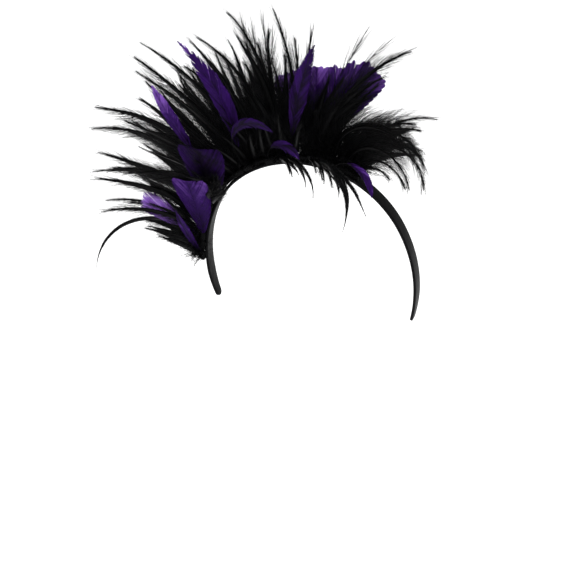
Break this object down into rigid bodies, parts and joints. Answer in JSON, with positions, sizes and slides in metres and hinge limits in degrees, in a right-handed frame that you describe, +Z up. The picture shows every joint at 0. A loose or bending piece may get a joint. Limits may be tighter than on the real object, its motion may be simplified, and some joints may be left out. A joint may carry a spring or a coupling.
{
  "type": "feather headband",
  "caption": "Narrow black satin hair band with a wide one-sided spray of curved black hackles and trimmed purple feathers.",
  "frame": {"origin": "middle of the band's inner face at the crown, where the band sits on the top of the head", "axes": "+Z up, +X towards the wearer's left ear, -Y the way the wearer looks; the band stands upright in the XZ plane"},
  "size_m": [0.2476, 0.0869, 0.2169],
  "materials": {
    "satin": "black polyester satin over a flat spring core",
    "black_hackle": "dyed black cock hackle, soft with glossy tips",
    "purple_feather": "dyed purple goose feather, trimmed, matt with a soft sheen"
  },
  "bodies": {
    "root": {"band": "satin", "plume_side_low": "black_hackle", "plume_side": "black_hackle", "plume_upper_side": "black_hackle", "plume_crest_right": "black_hackle", "plume_crest": "black_hackle", "plume_crest_left": "black_hackle", "plume_droop_left": "black_hackle", "plume_back_side": "black_hackle", "plume_back_crest": "black_hackle", "plume_back_left": "black_hackle", "plume_brow_right": "black_hackle", "plume_brow_left": "black_hackle", "purple_cheek_feather": "purple_feather", "purple_round_low": "purple_feather", "purple_round_high": "purple_feather", "purple_side_feather": "purple_feather", "purple_upper_feather": "purple_feather", "purple_split_feather": "purple_feather", "purple_pointed_feather": "purple_feather", "purple_arched_high": "purple_feather", "purple_arched_low": "purple_feather", "purple_band_feather": "purple_feather", "purple_fan": "purple_feather"}
  },
  "joints": []
}
